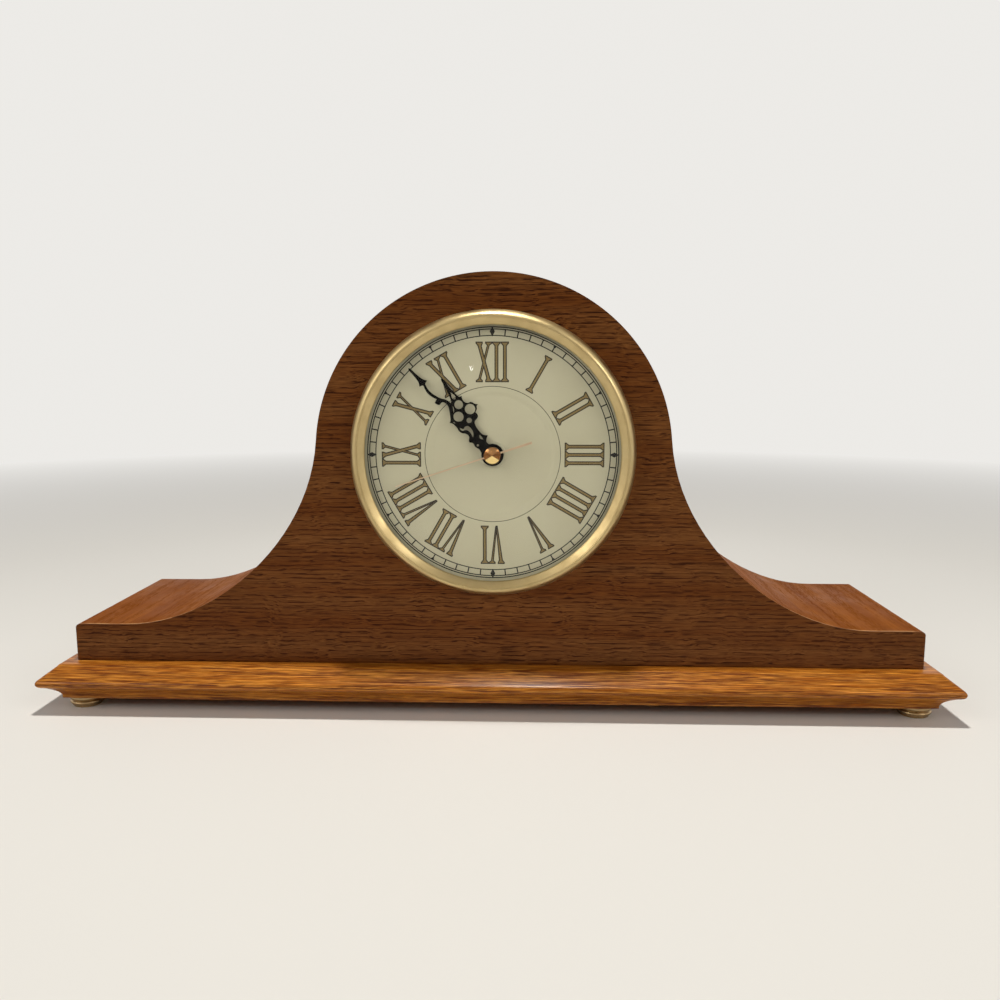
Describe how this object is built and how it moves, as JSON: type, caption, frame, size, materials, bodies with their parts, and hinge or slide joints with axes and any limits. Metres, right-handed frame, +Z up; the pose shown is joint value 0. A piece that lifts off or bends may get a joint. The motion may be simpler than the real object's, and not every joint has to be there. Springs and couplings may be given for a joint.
{
  "type": "tambour mantel clock",
  "caption": "Low tambour case of bent and veneered wood on a moulded base, with a domed dial, pierced hands, a quartz chime movement and a rear door.",
  "frame": {"origin": "the middle of the clock's footprint, on the surface that its feet stand on", "axes": "+X to the right of someone who reads the dial, +Y to the back, +Z up; the dial faces -Y"},
  "size_m": [0.4616, 0.1306, 0.2191],
  "materials": {
    "lacquered_wood": "gloss lacquer",
    "dark_veneer": "satin lacquer",
    "brown_veneer": "satin lacquer",
    "board": "raw",
    "hardboard": "raw",
    "brass": "polished",
    "steel": "satin",
    "glass": "clear",
    "dial_cream": "matte",
    "black_paint": "satin",
    "rose_gold": "polished",
    "black_plastic": "matte",
    "white_plastic": "satin",
    "green_board": "satin",
    "copper": "satin",
    "rubber": "matte",
    "battery_sleeve": "gloss"
  },
  "bodies": {
    "clock": {"base_board": "lacquered_wood", "front_panel": "board", "front_veneer": "dark_veneer", "bent_top": "brown_veneer", "end_block_left": "brown_veneer", "end_block_right": "brown_veneer", "back_panel": "hardboard", "glue_block_left": "board", "glue_block_right": "board", "foot_front_left": "brass", "foot_front_right": "brass", "foot_back_left": "brass", "foot_back_right": "brass", "case_screw_1": "steel", "case_screw_2": "steel", "case_screw_3": "steel", "case_screw_4": "steel", "hinge_fixed_leaf_upper": "brass", "hinge_fixed_leaf_lower": "brass", "hinge_pin_upper": "brass", "hinge_pin_lower": "brass", "catch_magnet": "black_plastic", "bezel": "brass", "dial_glass": "glass", "dial_plate": "dial_cream", "fixing_nut": "black_paint", "movement_front_case": "black_plastic", "movement_back_case": "black_plastic", "rubber_washer": "rubber", "middle_plate": "steel", "train_bridge": "steel", "circuit_board": "green_board", "drive_coil": "copper", "stator": "steel", "speaker": "steel", "battery": "battery_sleeve", "battery_spring": "steel", "battery_contact": "steel"},
    "door": {"back_door": "hardboard", "hinge_door_leaf_upper": "brass", "hinge_door_leaf_lower": "brass", "door_knob": "brass", "strike_plate": "steel"},
    "minute_arbor": {"minute_hand": "black_paint", "cannon_pinion": "brass"},
    "hour_arbor": {"hour_hand": "black_paint", "hour_wheel": "white_plastic"},
    "motion_arbor": {"motion_wheel": "white_plastic"},
    "setting_arbor": {"setting_knob": "white_plastic"},
    "seconds_arbor": {"second_hand": "rose_gold", "hand_cap": "brass", "seconds_wheel": "steel"},
    "third_arbor": {"third_wheel": "steel"},
    "centre_arbor": {"centre_wheel": "brass"},
    "intermediate_arbor": {"intermediate_wheel": "white_plastic"},
    "rotor_arbor": {"rotor": "steel"},
    "volume_switch": {"volume_slide": "white_plastic"},
    "chime_switch": {"chime_slide": "white_plastic"}
  },
  "joints": [
    {"name": "door_swing", "type": "hinge", "parent": "clock", "child": "door", "pos_m": [0.0605, 0.0437, 0.118], "axis": [0, 0, -1], "range_deg": [0, 110]},
    {"name": "minute_turn", "type": "hinge", "parent": "clock", "child": "minute_arbor", "pos_m": [0, -0.05, 0.1313], "axis": [0, 1, 0], "continuous": true},
    {"name": "hour_turn", "type": "hinge", "parent": "clock", "child": "hour_arbor", "pos_m": [0, -0.05, 0.1313], "axis": [0, 1, 0], "continuous": true},
    {"name": "motion_turn", "type": "hinge", "parent": "clock", "child": "motion_arbor", "pos_m": [0, -0.035, 0.1213], "axis": [0, 1, 0], "continuous": true},
    {"name": "setting_turn", "type": "hinge", "parent": "clock", "child": "setting_arbor", "pos_m": [0, -0.02, 0.1088], "axis": [0, 1, 0], "continuous": true},
    {"name": "second_turn", "type": "hinge", "parent": "clock", "child": "seconds_arbor", "pos_m": [0, -0.05, 0.1313], "axis": [0, 1, 0], "continuous": true},
    {"name": "third_turn", "type": "hinge", "parent": "clock", "child": "third_arbor", "pos_m": [0.01142, -0.03, 0.13546], "axis": [0, 1, 0], "continuous": true},
    {"name": "centre_turn", "type": "hinge", "parent": "clock", "child": "centre_arbor", "pos_m": [0, -0.032, 0.1313], "axis": [0, 1, 0], "continuous": true},
    {"name": "intermediate_turn", "type": "hinge", "parent": "clock", "child": "intermediate_arbor", "pos_m": [-0.00896, -0.024, 0.13456], "axis": [0, 1, 0], "continuous": true},
    {"name": "rotor_turn", "type": "hinge", "parent": "clock", "child": "rotor_arbor", "pos_m": [-0.01841, -0.021, 0.13456], "axis": [0, 1, 0], "continuous": true},
    {"name": "volume_travel", "type": "slide", "parent": "clock", "child": "volume_switch", "axis": [1, 0, 0], "range_m": [0, 0.006]},
    {"name": "chime_travel", "type": "slide", "parent": "clock", "child": "chime_switch", "axis": [1, 0, 0], "range_m": [0, 0.006]}
  ],
  "couplings": [
    {"joint": "hour_turn", "follows": "minute_turn", "ratio": 0.083333},
    {"joint": "motion_turn", "follows": "minute_turn", "ratio": -0.33333},
    {"joint": "setting_turn", "follows": "minute_turn", "ratio": 0.5},
    {"joint": "third_turn", "follows": "second_turn", "ratio": -0.13333},
    {"joint": "centre_turn", "follows": "second_turn", "ratio": 0.016667},
    {"joint": "intermediate_turn", "follows": "second_turn", "ratio": -5},
    {"joint": "rotor_turn", "follows": "second_turn", "ratio": 30}
  ]
}
